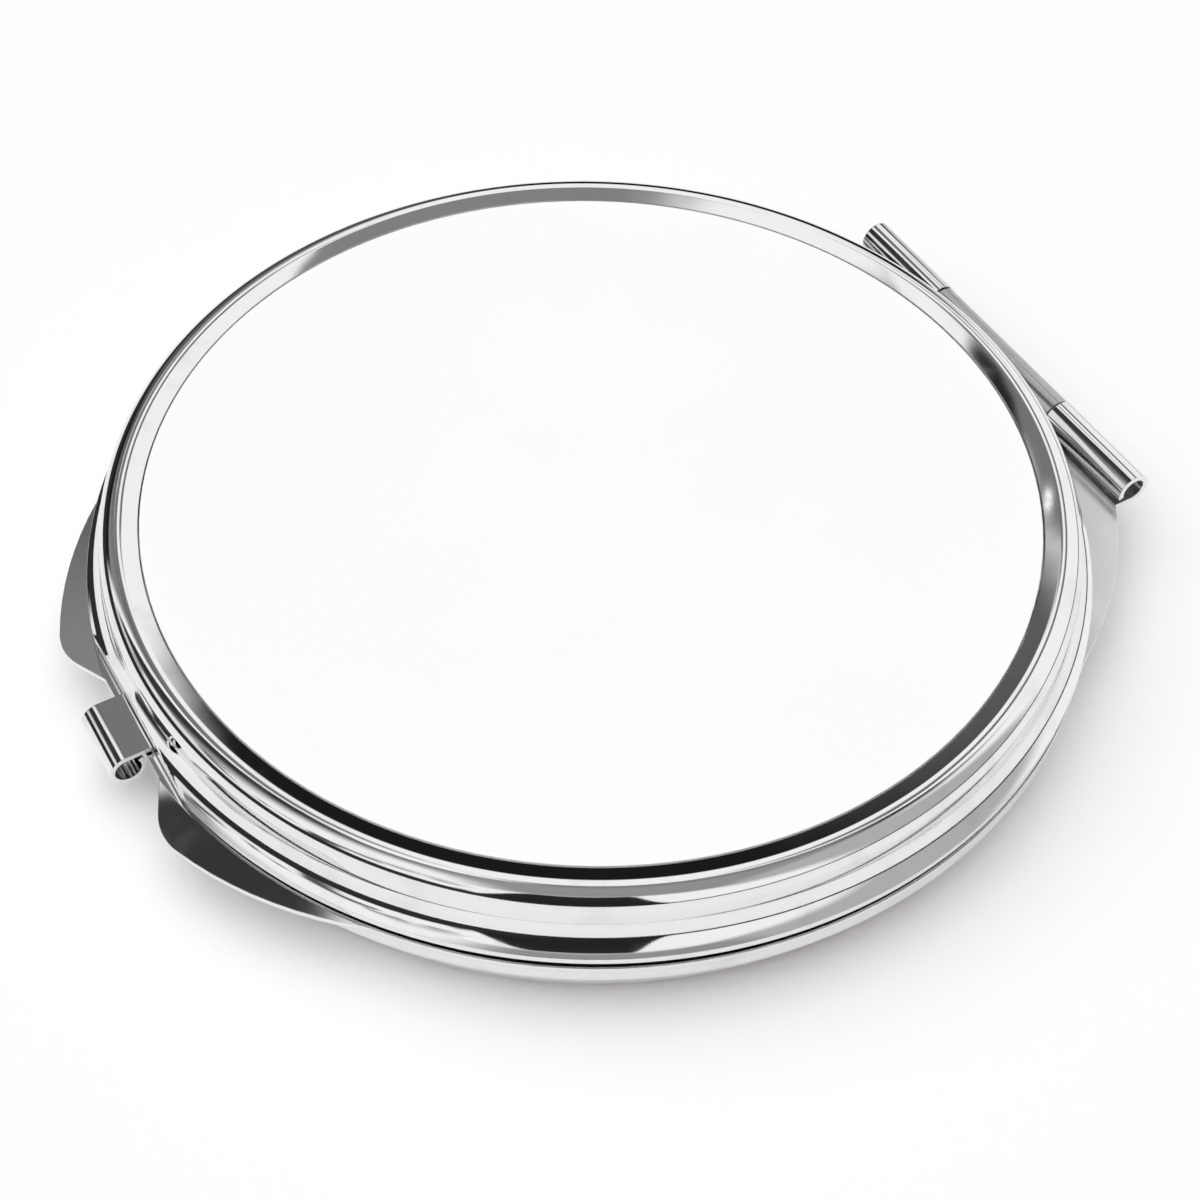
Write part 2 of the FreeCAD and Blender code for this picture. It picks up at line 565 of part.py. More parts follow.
def make_lid_frame():
    """Lid frame: flat ring that holds the lid mirror, with the middle knuckle and a flat at the catch."""
    body = turned_body("lid_frame", [
        (OPENING_RADIUS, LID_FRAME_BOTTOM),
        (LID_FRAME_RADIUS, LID_FRAME_BOTTOM),
        (LID_FRAME_RADIUS, LID_FRAME_TOP),
        (OPENING_RADIUS, LID_FRAME_TOP),
    ])
    doc.recompute()
    wall_middle = f"({KNUCKLE_BORE} + {S}lid_frame_sheet / 2)"
    leaf_drop = f"({HINGE_Z} - {LID_FRAME_BOTTOM} - {S}lid_frame_sheet / 2)"
    leaf_end = f"({HINGE_Y} - sqrt({wall_middle}^2 - {leaf_drop}^2))"
    leaf_start = f"({MIRROR_RADIUS} + {S}mirror_lip)"
    width = f"2 * {S}middle_knuckle_half"
    leaf = add_sketch(body, "lid_leaf_section", "YZ_Plane")
    draw_profile(leaf, [
        (leaf_start, LID_FRAME_BOTTOM),
        (leaf_end, LID_FRAME_BOTTOM),
        (leaf_end, LID_FRAME_TOP),
        (leaf_start, LID_FRAME_TOP),
    ])
    pad(body, leaf, "lid_leaf", width, midplane=True)
    doc.recompute()
    ring = add_sketch(body, "lid_knuckle_section", "YZ_Plane")
    for expression in (MIDDLE_KNUCKLE_RADIUS, KNUCKLE_BORE):
        centre = FreeCAD.Vector(number(HINGE_Y), number(HINGE_Z), 0)
        circle = ring.addGeometry(Part.Circle(centre, FreeCAD.Vector(0, 0, 1), number(expression)))
        bind(ring, Sketcher.Constraint("Radius", circle, number(expression)), expression)
        place_point(ring, circle, CENTRE, HINGE_Y, HINGE_Z)
    pad(body, ring, "lid_knuckle", width, midplane=True)
    doc.recompute()
    cut_chord(body, "lid_frame_front_flat", f"-{HINGE_Y}", f"-{LID_FRONT_FLAT}", f"{S}hinge_half",
              LID_FRAME_BOTTOM, LID_FRAME_TOP)
    return body


def make_thumb_catch():
    """Thumb catch: a tongue off the lid frame that rolls outwards and under into an open tube."""
    body = doc.addObject("PartDesign::Body", "thumb_catch")
    body.Label = "thumb_catch"
    section = add_sketch(body, "thumb_catch_section", "YZ_Plane")
    outer = f"{S}catch_roll_radius"
    stop_y = f"cos({S}catch_end_angle)"
    stop_z = f"sin({S}catch_end_angle)"
    draw_profile(section, [
        (f"-{CATCH_ROOT_Y}", LID_FRAME_TOP),
        (f"-{CATCH_Y}", LID_FRAME_TOP, outer, 1),
        (f"-({CATCH_Y} + {outer})", CATCH_Z, outer, 1),
        (f"-{CATCH_Y}", f"({CATCH_Z} - {outer})", outer, 1),
        (f"-({CATCH_Y} - {outer})", CATCH_Z, outer, 1),
        (f"-({CATCH_Y} - {outer} * {stop_y})", f"({CATCH_Z} + {outer} * {stop_z})"),
        (f"-({CATCH_Y} - {CATCH_BORE} * {stop_y})", f"({CATCH_Z} + {CATCH_BORE} * {stop_z})", CATCH_BORE, -1),
        (f"-({CATCH_Y} - {CATCH_BORE})", CATCH_Z, CATCH_BORE, -1),
        (f"-{CATCH_Y}", f"({CATCH_Z} - {CATCH_BORE})", CATCH_BORE, -1),
        (f"-({CATCH_Y} + {CATCH_BORE})", CATCH_Z, CATCH_BORE, -1),
        (f"-{CATCH_Y}", LID_FRAME_BOTTOM),
        (f"-{CATCH_ROOT_Y}", LID_FRAME_BOTTOM),
    ])
    pad(body, section, "thumb_catch_roll", f"{S}catch_width", midplane=True)
    return body


def make_hinge_pin():
    """Hinge pin: plain wire through the three knuckles, sunk in from both open ends."""
    pin = doc.addObject("Part::Cylinder", "hinge_pin")
    pin.Label = "hinge_pin"
    pin.setExpression("Radius", f"{KNUCKLE_BORE} - {S}pin_clearance")
    pin.setExpression("Height", f"2 * ({S}hinge_half - {S}pin_recess)")
    pin.Placement.Rotation = FreeCAD.Rotation(FreeCAD.Vector(0, 1, 0), 90)
    pin.setExpression("Placement.Base.x", f"{S}pin_recess - {S}hinge_half")
    pin.setExpression("Placement.Base.y", HINGE_Y)
    pin.setExpression("Placement.Base.z", HINGE_Z)
    return pin


parts = [
    make_base_shell(),
    disc_body("base_mirror_pad", PAD_RADIUS, BASE_FLOOR_TOP, BASE_MIRROR_BACK),
    make_magnifier(),
    make_base_frame(),
    make_hinge_pin(),
    make_lid_shell(),
    make_lid_frame(),
    make_lid_mirror(),
    disc_body("lid_mirror_pad", PAD_RADIUS, LID_MIRROR_BACK, LID_FLOOR_BOTTOM),
    disc_body("top_disc_adhesive", f"({S}disc_radius - {S}adhesive_margin)", LID_FLOOR_TOP, DISC_BOTTOM),
    disc_body("top_disc", f"{S}disc_radius", DISC_BOTTOM, DISC_TOP),
    make_thumb_catch(),
]
doc.recompute()

for item in doc.Objects:
    if "Invalid" in item.State or "Error" in item.State:
        raise RuntimeError(f"{item.Name} failed: {item.State}")
for part in parts:
    if part.Shape.isNull() or not part.Shape.isValid() or len(part.Shape.Solids) != 1:
        raise RuntimeError(f"{part.Label} is not one valid solid")

os.makedirs("parts", exist_ok=True)
for part in parts:
    part.Shape.exportStep(f"parts/{part.Label}.step")
    box = part.Shape.optimalBoundingBox()
    print(f"{part.Label}: {part.Shape.Volume:.1f} mm3, "
          f"x {box.XMin:.2f} {box.XMax:.2f}, y {box.YMin:.2f} {box.YMax:.2f}, z {box.ZMin:.2f} {box.ZMax:.2f}")
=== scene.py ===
"""Looks of a round chromed compact mirror with a white disc on its lid, in a studio of panels."""

import math

import bmesh
import bpy
from mathutils import Matrix, Vector


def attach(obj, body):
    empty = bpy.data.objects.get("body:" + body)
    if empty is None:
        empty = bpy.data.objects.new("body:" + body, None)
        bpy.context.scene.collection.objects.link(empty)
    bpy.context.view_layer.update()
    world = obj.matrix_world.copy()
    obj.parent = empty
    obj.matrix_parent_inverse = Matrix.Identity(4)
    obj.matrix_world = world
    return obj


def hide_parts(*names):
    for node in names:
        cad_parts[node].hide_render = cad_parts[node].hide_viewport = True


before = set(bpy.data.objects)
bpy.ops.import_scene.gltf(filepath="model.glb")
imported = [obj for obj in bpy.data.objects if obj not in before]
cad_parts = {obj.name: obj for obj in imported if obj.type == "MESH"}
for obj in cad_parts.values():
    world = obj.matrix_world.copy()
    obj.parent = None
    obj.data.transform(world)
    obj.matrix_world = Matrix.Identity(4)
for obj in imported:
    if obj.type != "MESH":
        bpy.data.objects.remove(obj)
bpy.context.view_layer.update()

MM = 0.001

# Camera, in metres and radians: where it stands, what it looks at, and its small roll
CAMERA_PLACE = Vector((78.575, -48.151, 106.653)) * MM
CAMERA_AIM = Vector((8.438, -4.429, 9.07)) * MM
CAMERA_ROLL = 0.035
CAMERA_LENS_MM = 62.319
SENSOR_MM = 36.0

# Horizontal directions of the studio: towards the camera, and to the right as the camera sees it
TOWARDS_CAMERA = Vector((CAMERA_PLACE.x - CAMERA_AIM.x, CAMERA_PLACE.y - CAMERA_AIM.y, 0.0)).normalized()
TO_THE_RIGHT = Vector((0.0, 0.0, 1.0)).cross(TOWARDS_CAMERA)

# Soft light on the table: its side, its levels away from that side and towards it, and their tints
LAMP_SIDE = (Vector((0.0, 0.0, 1.0)) + 0.05 * TOWARDS_CAMERA - 0.22 * TO_THE_RIGHT).normalized()
LAMP_LEVELS = (0.1, 2.13)
LAMP_TINTS = ((1.0, 0.84, 0.76, 1.0), (0.98, 1.02, 1.04, 1.0))

# Levels of the panels that the polished metal reflects
WINDOW = 1.5
WHITE_PANEL = 1.05
PALE_CARD = 0.9
GREY_CARD = 0.5
CEILING_GREY = 0.32
STRIP_GREY = 0.25
WALL_GREY = 0.2
CORNER_GREYS = (0.15, 0.25)
CLUTTER = 0.1
DARK_PANEL = 0.03
STAND_BLACK = 0.02
LOW_WALL_LEVELS = (0.012, 0.12)
CORNER_BLACK = 0.012
EDGE_BLACK = 0.01

# Pieces by finish; the two drawn shells are turned again below in finer steps
PLATED_NODES = ("base_frame", "thumb_catch")
GLASS_NODES = ("base_mirror", "lid_mirror")
PAD_NODES = ("base_mirror_pad", "lid_mirror_pad")

# Drawn shells, in millimetres: sheet, slope beside the recess, radii from the body axis, and flats
SHEET = 0.5
SLOPE = math.radians(19.5)
RECESS_RADIUS = 29.0
RECESS_BACK = RECESS_RADIUS + SHEET
WALL_RADIUS = 31.55
WALL_INNER = WALL_RADIUS - SHEET
BASE_HEM_RADIUS = 32.72
LID_HINGE_FLAT = 32.32
LID_CATCH_FLAT = 31.92
BASE_CATCH_FLAT = 32.4

# Turning the shells: steps round the axis and along an arc, sharp edges, joined points, least cosine
TURN_STEPS = 480
ARC_STEP = math.radians(3.0)
SHARP_ANGLE = math.radians(24.0)
WELD = 1e-4
LEAST_COSINE = 0.5

# Top of the base frame, in millimetres: its band of heights, and where the satin hinge shoulders begin
FRAME_TOP = (4.45, 4.65)
SHOULDER_START = (20.0, 26.0)

# White table, in metres: half its width, and how far its top lies under the foot ring
TABLE_HALF = 40.0
TABLE_DROP = 0.02 * MM


class Wire:
    """A socket in a node tree. Arithmetic on it adds Math nodes; make adds any other node."""

    def __init__(self, tree, socket=None):
        self.tree = tree
        self.socket = socket

    def make(self, kind, settings=None, values=None, output=0):
        """Add a node, set its settings, then fill its sockets with values or links; returns one output."""
        node = self.tree.nodes.new(kind)
        for name, setting in (settings or {}).items():
            setattr(node, name, setting)
        for name, value in (values or {}).items():
            if isinstance(value, Wire):
                self.tree.links.new(value.socket, node.inputs[name])
            else:
                node.inputs[name].default_value = value
        return Wire(self.tree, node.outputs[output] if node.outputs else None)

    def math(self, operation, *values, clamp=False):
        """One Math node on numbers or wires."""
        settings = {"operation": operation, "use_clamp": clamp}
        return self.make("ShaderNodeMath", settings, dict(enumerate(values)))

    def __add__(self, other):
        return self.math("ADD", self, other)

    def __radd__(self, other):
        return self.math("ADD", other, self)

    def __sub__(self, other):
        return self.math("SUBTRACT", self, other)

    def __rsub__(self, other):
        return self.math("SUBTRACT", other, self)

    def __mul__(self, other):
        return self.math("MULTIPLY", self, other)

    def __rmul__(self, other):
        return self.math("MULTIPLY", other, self)

    def __neg__(self):
        return self.math("MULTIPLY", self, -1.0)

    def step(self, low, high):
        """Smooth step from 0 at low to 1 at high."""
        settings = {"interpolation_type": "SMOOTHSTEP"}
        values = {"Value": self, "From Min": low, "From Max": high}
        return self.make("ShaderNodeMapRange", settings, values)

    def within(self, low, high, soft):
        """1 between low and high, fading to 0 over a soft edge."""
        return self.step(low - soft, low + soft) * (1.0 - self.step(high - soft, high + soft))

    def blend(self, first, last):
        """Number between first and last, by this wire."""
        return first + (last - first) * self

    def tint(self, first, last):
        """Colour between first and last, by this wire."""
        return self.make("ShaderNodeMix", {"data_type": "RGBA"}, {0: self, 6: first, 7: last}, output=2)

    def along(self, direction):
        """Length of this vector along a direction."""
        values = {0: self, 1: direction}
        return self.make("ShaderNodeVectorMath", {"operation": "DOT_PRODUCT"}, values, output=1)

    def stretched(self, scale):
        """This vector with its parts scaled."""
        return self.make("ShaderNodeVectorMath", {"operation": "MULTIPLY"}, {0: self, 1: scale})

    def noise(self, scale, detail=2.0):
        """Smooth noise over this vector, about 0.5."""
        return self.make("ShaderNodeTexNoise", None, {"Vector": self, "Scale": scale, "Detail": detail})


def new_material(name):
    """Empty node material, with a wire into its tree, its surface shader and its place in millimetres."""
    material = bpy.data.materials.new(name)
    material.use_nodes = True
    shader = material.node_tree.nodes["Principled BSDF"]
    start = Wire(material.node_tree)
    place = start.make("ShaderNodeTexCoord", output="Object").stretched((1 / MM, 1 / MM, 1 / MM))
    return material, start, shader, place


def link(shader, **wires):
    """Link wires to a shader's sockets; underscores stand for spaces."""
    for name, wire in wires.items():
        wire.tree.links.new(wire.socket, shader.inputs[name.replace("_", " ")])


def rounded_normal(start, radius_mm):
    """Surface direction with the sheet's edges eased over a small radius."""
    return start.make("ShaderNodeBevel", {"samples": 6}, {"Radius": radius_mm * MM})


def edge_wear_and_highlight(start, eased):
    """1 on eased edges and 0 on open faces: edge wear, and on plated metal also a painted edge highlight.
    """
    plain = start.make("ShaderNodeNewGeometry", output="Normal")
    turned = plain.along(eased)
    return (1.0 - turned).step(0.02, 0.25)


def bumped(start, height, depth_mm, eased=None):
    """Surface direction roughened by a height from 0 to 1."""
    values = {"Height": height, "Distance": depth_mm * MM, "Strength": 1.0}
    if eased is not None:
        values["Normal"] = eased
    return start.make("ShaderNodeBump", None, values)


def make_polished_plate():
    """Bright chrome over drawn sheet: waves, buffing marks, haze, satin hinge shoulders, and rougher edges
    painted brighter, partly wear and partly a painted highlight.
    """
    material, start, shader, place = new_material("polished_plate")
    waves = place.noise(0.2, detail=1.0)
    buffing = place.stretched((3.0, 3.0, 60.0)).noise(1.0, detail=3.0)
    haze = place.noise(0.35, detail=4.0).step(0.5, 0.72)
    specks = place.noise(6.0, detail=2.0).step(0.7, 0.78)
    on_frame_top = place.along((0.0, 0.0, 1.0)).within(*FRAME_TOP, 0.03)
    satin = on_frame_top * place.along((0.0, 1.0, 0.0)).step(*SHOULDER_START)
    eased = rounded_normal(start, 0.07)
    wear_and_highlight = edge_wear_and_highlight(start, eased)
    clean = haze.tint((0.82, 0.82, 0.825, 1.0), (0.76, 0.76, 0.765, 1.0))
    dulled = satin.tint(clean, (0.8, 0.8, 0.81, 1.0))
    # edges painted brighter: rubbed plating, and partly a painted highlight where the edges catch light
    colour = wear_and_highlight.tint(dulled, (0.9, 0.89, 0.88, 1.0))
    roughness = 0.035 + 0.04 * haze + 0.03 * buffing + 0.1 * wear_and_highlight + 0.05 * specks + 0.16 * satin
    height = 1.1 * waves + 0.01 * buffing - 0.02 * specks
    shader.inputs["Metallic"].default_value = 1.0
    link(shader, Base_Color=colour, Roughness=roughness, Normal=bumped(start, height, 0.02, eased))
    return material


def make_satin_plate():
    """Duller nickel of the inner frame: fine lines of rolling, grey haze, and edges painted brighter,
    partly wear and partly a painted highlight.
    """
    material, start, shader, place = new_material("satin_plate")
    lines = place.stretched((0.6, 20.0, 20.0)).noise(1.0, detail=3.0)
    haze = place.noise(0.4, detail=4.0).step(0.4, 0.7)
    eased = rounded_normal(start, 0.05)
    wear_and_highlight = edge_wear_and_highlight(start, eased)
    clean = haze.tint((0.5, 0.5, 0.51, 1.0), (0.47, 0.47, 0.48, 1.0))
    # edges painted brighter: rubbed nickel, and partly a painted highlight along the sheet's edge
    colour = wear_and_highlight.tint(clean, (0.68, 0.67, 0.66, 1.0))
    roughness = 0.18 + 0.03 * haze + 0.05 * lines
    shader.inputs["Metallic"].default_value = 1.0
    link(shader, Base_Color=colour, Roughness=roughness, Normal=bumped(start, lines, 0.003, eased))
    return material


def make_white_disc():
    """White enamelled sheet: satin face with faint haze and orange peel, bare grey along its edge."""
    material, start, shader, place = new_material("white_disc")
    haze = place.noise(0.08, detail=3.0).step(0.35, 0.75)
    peel = place.noise(2.2, detail=2.0)
    eased = rounded_normal(start, 0.12)
    wear_and_highlight = edge_wear_and_highlight(start, eased)
    clean = haze.tint((0.99, 0.99, 0.99, 1.0), (0.98, 0.98, 0.98, 1.0))
    # on the enamel the edge mask is wear only: bare grey metal along the cut edge
    colour = wear_and_highlight.tint(clean, (0.6, 0.6, 0.6, 1.0))
    roughness = 0.3 + 0.06 * haze + 0.15 * wear_and_highlight
    link(shader, Base_Color=colour, Roughness=roughness, Normal=bumped(start, peel, 0.002, eased))
    return material


def make_pin_steel():
    """Drawn steel wire: lines along the pin, greyer sheared ends."""
    material, start, shader, place = new_material("pin_steel")
    lines = place.stretched((0.4, 14.0, 14.0)).noise(1.0, detail=3.0)
    across = start.make("ShaderNodeTexCoord", output="Normal").along((1.0, 0.0, 0.0))
    sheared = (across * across).step(0.5, 0.9)
    colour = lines.tint((0.42, 0.42, 0.43, 1.0), (0.58, 0.58, 0.59, 1.0))
    ends = sheared.tint(colour, (0.3, 0.29, 0.28, 1.0))
    roughness = 0.22 + 0.12 * lines + 0.25 * sheared
    shader.inputs["Metallic"].default_value = 1.0
    link(shader, Base_Color=ends, Roughness=roughness, Normal=bumped(start, lines, 0.004))
    return material


def make_mirror_glass():
    """Silvered glass: clear bright faces with a breath of haze, and a ground greenish edge."""
    material, start, shader, place = new_material("mirror_glass")
    haze = place.noise(0.12, detail=4.0).step(0.45, 0.75)
    grain = place.noise(9.0, detail=2.0)
    upright = start.make("ShaderNodeTexCoord", output="Normal").along((0.0, 0.0, 1.0))
    ground = 1.0 - (upright * upright).step(0.5, 0.8)
    face = haze.tint((0.9, 0.92, 0.915, 1.0), (0.87, 0.89, 0.885, 1.0))
    edge = grain.tint((0.35, 0.46, 0.42, 1.0), (0.5, 0.6, 0.56, 1.0))
    colour = ground.tint(face, edge)
    roughness = 0.012 + 0.025 * haze + ground * (0.35 + 0.2 * grain)
    height = ground * grain
    link(shader, Base_Color=colour, Roughness=roughness, Metallic=1.0 - 0.8 * ground,
         Normal=bumped(start, height, 0.01))
    return material


def make_foam_pad():
    """Thin closed-cell foam: small dark cells with a skin."""
    material, start, shader, place = new_material("foam_pad")
    cells = start.make("ShaderNodeTexVoronoi", {"feature": "F1"}, {"Vector": place, "Scale": 3.5})
    patches = place.noise(0.6, detail=3.0)
    colour = cells.tint((0.035, 0.035, 0.037, 1.0), (0.075, 0.073, 0.072, 1.0))
    mottled = patches.tint(colour, (0.06, 0.06, 0.06, 1.0))
    roughness = 0.75 + 0.2 * cells
    link(shader, Base_Color=mottled, Roughness=roughness, Normal=bumped(start, cells, 0.06))
    return material


def make_adhesive_film():
    """Double-sided film: cloudy pale layer with small trapped bubbles."""
    material, start, shader, place = new_material("adhesive_film")
    cloud = place.noise(0.5, detail=4.0)
    bubbles = place.noise(4.0, detail=1.0).step(0.66, 0.72)
    colour = cloud.tint((0.72, 0.7, 0.62, 1.0), (0.62, 0.6, 0.52, 1.0))
    spotted = bubbles.tint(colour, (0.8, 0.79, 0.74, 1.0))
    roughness = 0.3 + 0.25 * cloud
    link(shader, Base_Color=spotted, Roughness=roughness, Normal=bumped(start, bubbles, 0.01))
    return material


def dress(names, material):
    """Give CAD nodes one finish."""
    for name in names:
        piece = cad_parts[name]
        piece.data.materials.clear()
        piece.data.materials.append(material)


def arc(centre, radius, first, last):
    """Points on a circle of the section, from one angle to another in degrees."""
    first, last = math.radians(first), math.radians(last)
    count = max(2, round(abs(last - first) / ARC_STEP))
    angles = [first + (last - first) * step / count for step in range(count + 1)]
    across, above = centre
    return [(across + radius * math.cos(angle), above + radius * math.sin(angle)) for angle in angles]


def lid_section():
    """Section of the lid, from the axis under the floor, round the edge, and back over the floor."""
    floor_low, floor_top, recess_top = 7.87, 8.37, 9.07
    bead_radius = 1.22
    edge_radius, edge_low, edge_top = 32.72, 5.01, 5.46
    flare_radius = 2.0
    bead_out = WALL_RADIUS - bead_radius
    crest_out = bead_out - bead_radius * math.sin(SLOPE)
    bead_up = recess_top + (crest_out - RECESS_RADIUS) * math.tan(SLOPE) - bead_radius * math.cos(SLOPE)
    bead = (bead_out, bead_up)
    crest = 90.0 + math.degrees(SLOPE)
    bead_back = arc(bead, bead_radius - SHEET, crest, 0.0)
    back_drop = (bead_back[0][0] - RECESS_BACK) * math.tan(SLOPE)
    flare_out = WALL_RADIUS + flare_radius
    flare_up = edge_top + math.sqrt(flare_radius ** 2 - (flare_out - edge_radius) ** 2)
    flare = (flare_out, flare_up)
    edge_angle = 180.0 + math.degrees(math.acos((flare_out - edge_radius) / flare_radius))
    return [
        (0.0, floor_low),
        (RECESS_BACK, floor_low),
        (RECESS_BACK, bead_back[0][1] - back_drop),
        *bead_back,
        (WALL_INNER, edge_low),
        (edge_radius, edge_low),
        *arc(flare, flare_radius, edge_angle, 180.0),
        *arc(bead, bead_radius, 0.0, crest),
        (RECESS_RADIUS, recess_top),
        (RECESS_RADIUS, floor_top),
        (0.0, floor_top),
    ]


def base_section():
    """Section of the base, from the axis under the floor, round foot and hem, and back over the floor."""
    floor_low, floor_top = 0.8, 1.3
    foot_round, foot_width = 1.05, 0.4
    shelf, hem_top = 2.91, 4.16
    flare_radius, hem_round = 0.5, 0.4
    foot = (WALL_RADIUS - foot_round, foot_round)
    flare = (WALL_RADIUS + flare_radius, shelf - flare_radius)
    hem = (BASE_HEM_RADIUS - hem_round, shelf + hem_round)
    foot_inner = foot[0] - foot_width
    slope_sheet = SHEET / math.cos(SLOPE)
    slope_top = (foot_inner - RECESS_BACK) * math.tan(SLOPE) + slope_sheet
    return [
        (0.0, floor_low),
        (RECESS_RADIUS, floor_low),
        (RECESS_RADIUS, (foot_inner - RECESS_RADIUS) * math.tan(SLOPE)),
        (foot_inner, 0.0),
        *arc(foot, foot_round, -90.0, 0.0),
        *arc(flare, flare_radius, 180.0, 90.0),
        *arc(hem, hem_round, -90.0, 0.0),
        (BASE_HEM_RADIUS, hem_top),
        (BASE_HEM_RADIUS - SHEET, hem_top),
        (BASE_HEM_RADIUS - SHEET, shelf + SHEET),
        *arc(flare, flare_radius + SHEET, 90.0, 180.0),
        *arc(foot, foot_round - SHEET, 0.0, -90.0),
        (foot_inner + (slope_sheet - SHEET) / math.tan(SLOPE), SHEET),
        (RECESS_BACK, slope_top),
        (RECESS_BACK, floor_top),
        (0.0, floor_top),
    ]


def turn_point(mesh, radius, height, hinge_flat, catch_flat):
    """Ring of points that a point of a section sweeps, held back to the flats; one point on the axis."""
    if radius == 0.0:
        return [mesh.verts.new((0.0, 0.0, height * MM))] * TURN_STEPS
    ring = []
    for step in range(TURN_STEPS):
        angle = 2.0 * math.pi * step / TURN_STEPS
        towards_hinge = math.cos(angle)
        flat = hinge_flat if towards_hinge > 0.0 else catch_flat
        reach = min(radius, flat / max(abs(towards_hinge), LEAST_COSINE))
        spot = Vector((reach * math.sin(angle), reach * towards_hinge, height)) * MM
        ring.append(mesh.verts.new(spot))
    return ring


def turn_shell(node, body, section, hinge_flat, catch_flat, material):
    """Turn a section about the body axis in fine steps, cut flat towards the hinge and the catch."""
    mesh = bmesh.new()
    rings = [turn_point(mesh, radius, height, hinge_flat, catch_flat) for radius, height in section]
    for lower, upper in zip(rings, rings[1:]):
        for step in range(TURN_STEPS):
            following = (step + 1) % TURN_STEPS
            corners = [lower[step], lower[following], upper[following], upper[step]]
            mesh.faces.new(list(dict.fromkeys(corners)))
    bmesh.ops.remove_doubles(mesh, verts=mesh.verts, dist=WELD * MM)
    bmesh.ops.recalc_face_normals(mesh, faces=mesh.faces)
    for face in mesh.faces:
        face.smooth = True
    data = bpy.data.meshes.new(f"{node}_turned")
    mesh.to_mesh(data)
    mesh.free()
    data.set_sharp_from_angle(angle=SHARP_ANGLE)
    data.materials.append(material)
    shell = bpy.data.objects.new(f"{node}_turned", data)
    bpy.context.scene.collection.objects.link(shell)
    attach(shell, body)
    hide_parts(node)


def make_floor():
    """White table top, wide enough to fill the view."""
    ways = [(-1, -1), (1, -1), (1, 1), (-1, 1)]
    corners = [(x * TABLE_HALF, y * TABLE_HALF, -TABLE_DROP) for x, y in ways]
    mesh = bpy.data.meshes.new("table")
    mesh.from_pydata(corners, [], [(0, 1, 2, 3)])
    table = bpy.data.objects.new("table", mesh)
    bpy.context.scene.collection.objects.link(table)
    material, _, shader, place = new_material("white_table")
    grain = place.noise(0.8, detail=3.0)
    colour = grain.tint((0.974, 0.974, 0.974, 1.0), (0.984, 0.984, 0.984, 1.0))
    shader.inputs["Specular IOR Level"].default_value = 0.0
    link(shader, Base_Color=colour, Roughness=0.9 + 0.05 * grain)
    mesh.materials.append(material)


# Edges of the studio's panels are parts of a unit ray: towards the camera (nearer), to the right, and up
def ceiling_levels(nearer, right):
    """Overhead: a strip from grey to white, then a grey ceiling; on the left a ramp from dark to white."""
    ramp = nearer.step(-0.22, 0.3).blend(DARK_PANEL, WHITE_PANEL)
    beyond = nearer.step(0.5, 0.6).blend(DARK_PANEL, WHITE_PANEL)
    ceiling = nearer.within(-0.2, 0.6, 0.06).blend(beyond, CEILING_GREY)
    overhead = nearer.step(-0.38, -0.36) * (1.0 - right.step(0.35, 0.6))
    room = overhead.blend(WHITE_PANEL, (-right).step(0.12, 0.34).blend(ceiling, ramp))
    strip = nearer.within(-0.37, -0.2, 0.01) * right.within(-0.25, 0.3, 0.03)
    return strip.blend(room, (-right).step(0.02, 0.12).blend(STRIP_GREY, WHITE_PANEL))


def add_near_side(room, ray, nearer, right, up):
    """Cards at both sides, clutter low on the left, and the dark stand under the camera."""
    near_card = right.step(0.3, 0.45) * nearer.within(-0.1, 0.62, 0.1)
    room = near_card.blend(room, GREY_CARD)
    far_left = (-right).step(0.8, 0.88)
    room = far_left.blend(room, PALE_CARD)
    low_left = (1.0 - up.step(0.5, 0.8)) * (-right).step(0.25, 0.4) * nearer.step(-0.35, -0.1)
    patches = ray.noise(3.5, detail=3.0).step(0.5, 0.58)
    room = (low_left * patches).blend(room, CLUTTER)
    # the stand is high in the middle and comes down to the horizon at its sides
    stand_top = (right.step(-0.42, -0.1) * (1.0 - right.step(0.12, 0.3))).blend(0.08, 0.79)
    stand = (1.0 - (up - stand_top).step(-0.015, 0.015)) * nearer.step(0.0, 0.15)
    return stand.blend(room, STAND_BLACK)


def add_back_wall(room, right, up, far_behind):
    """Grey wall at the back, with a white strip down its middle and a dark right edge."""
    wall_height = up.step(0.64, 0.68) * far_behind
    wall = right.within(-0.3, 0.22, 0.006) * (1.0 - right.within(-0.09, 0.09, 0.03)) * wall_height
    room = wall.blend(room, WALL_GREY)
    right_edge = right.within(0.195, 0.222, 0.006) * wall_height
    return right_edge.blend(room, DARK_PANEL)


def add_left_corner(room, right, up, far_behind):
    """Grey corner at the back on the left, black low down, with a dark edge and a small window."""
    grey = (-right).step(0.24, 0.5).blend(*CORNER_GREYS)
    corner = (1.0 - up.step(0.48, 0.54)).blend(grey, CORNER_BLACK)
    past_edge = 0.34 * (up - 0.71) - 0.31 - right
    room = (past_edge.step(0.0, 0.008) * far_behind).blend(room, corner)
    room = (past_edge.within(0.005, 0.03, 0.005) * far_behind).blend(room, EDGE_BLACK)
    window = right.within(-0.284, -0.274, 0.004) * up.within(0.672, 0.7, 0.006)
    return window.blend(room, WINDOW)


